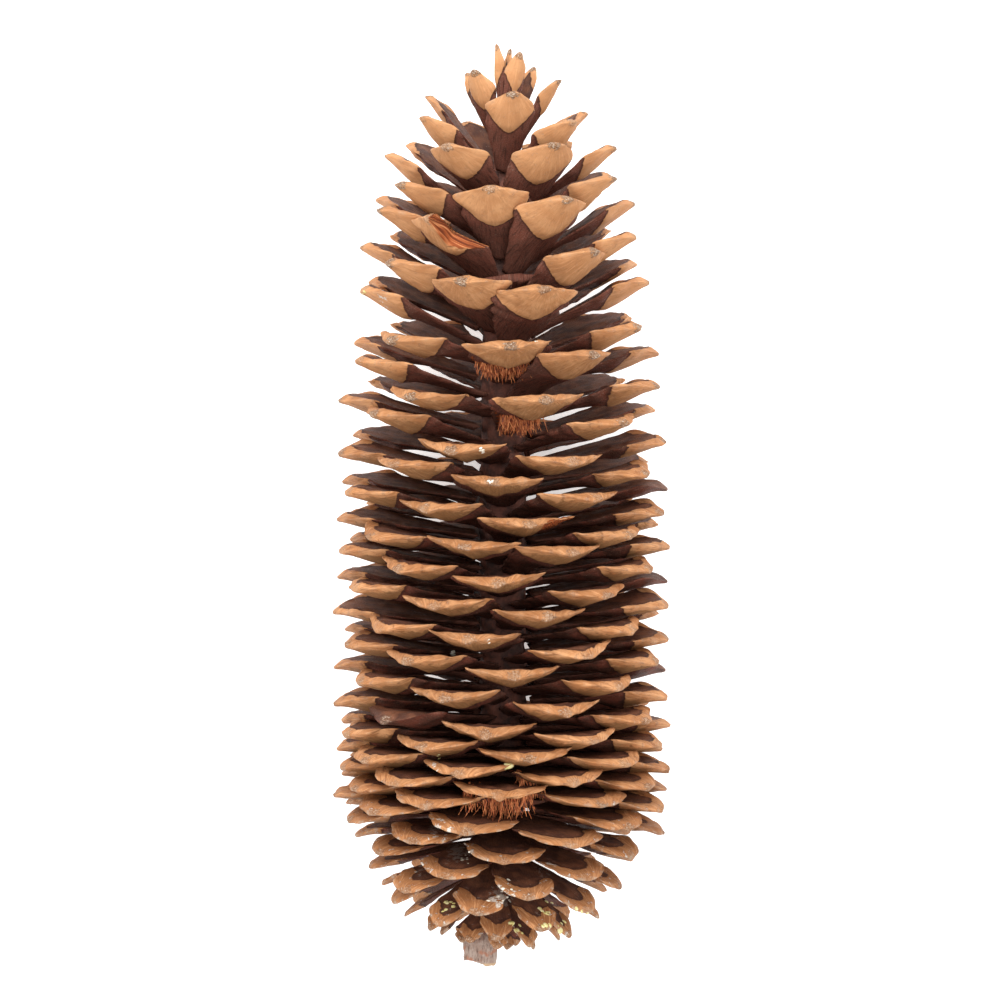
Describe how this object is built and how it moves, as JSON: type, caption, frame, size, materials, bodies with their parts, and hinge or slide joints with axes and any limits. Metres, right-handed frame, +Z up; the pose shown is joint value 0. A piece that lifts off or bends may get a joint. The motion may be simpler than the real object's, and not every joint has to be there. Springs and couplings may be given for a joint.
{
  "type": "sugar pine cone",
  "caption": "Ripe, open sugar pine cone lying on its side, with a slender core, thick woody scales in a spiral from the closed tip to the base, and a short bark-covered stalk stub.",
  "frame": {"origin": "on the surface that the cone lies on, under the middle of its box", "axes": "+X along the cone from the cut stalk to the tip, +Z up from the surface it lies on"},
  "size_m": [0.3432, 0.1261, 0.123],
  "materials": {
    "scale_wood": "dry, satin, tan at the scale ends and dark red-brown toward the core",
    "stalk_bark": "matt, rough grey-brown bark with a torn cut end"
  },
  "bodies": {
    "root": {"cone": "scale_wood", "stalk": "stalk_bark"}
  },
  "joints": []
}
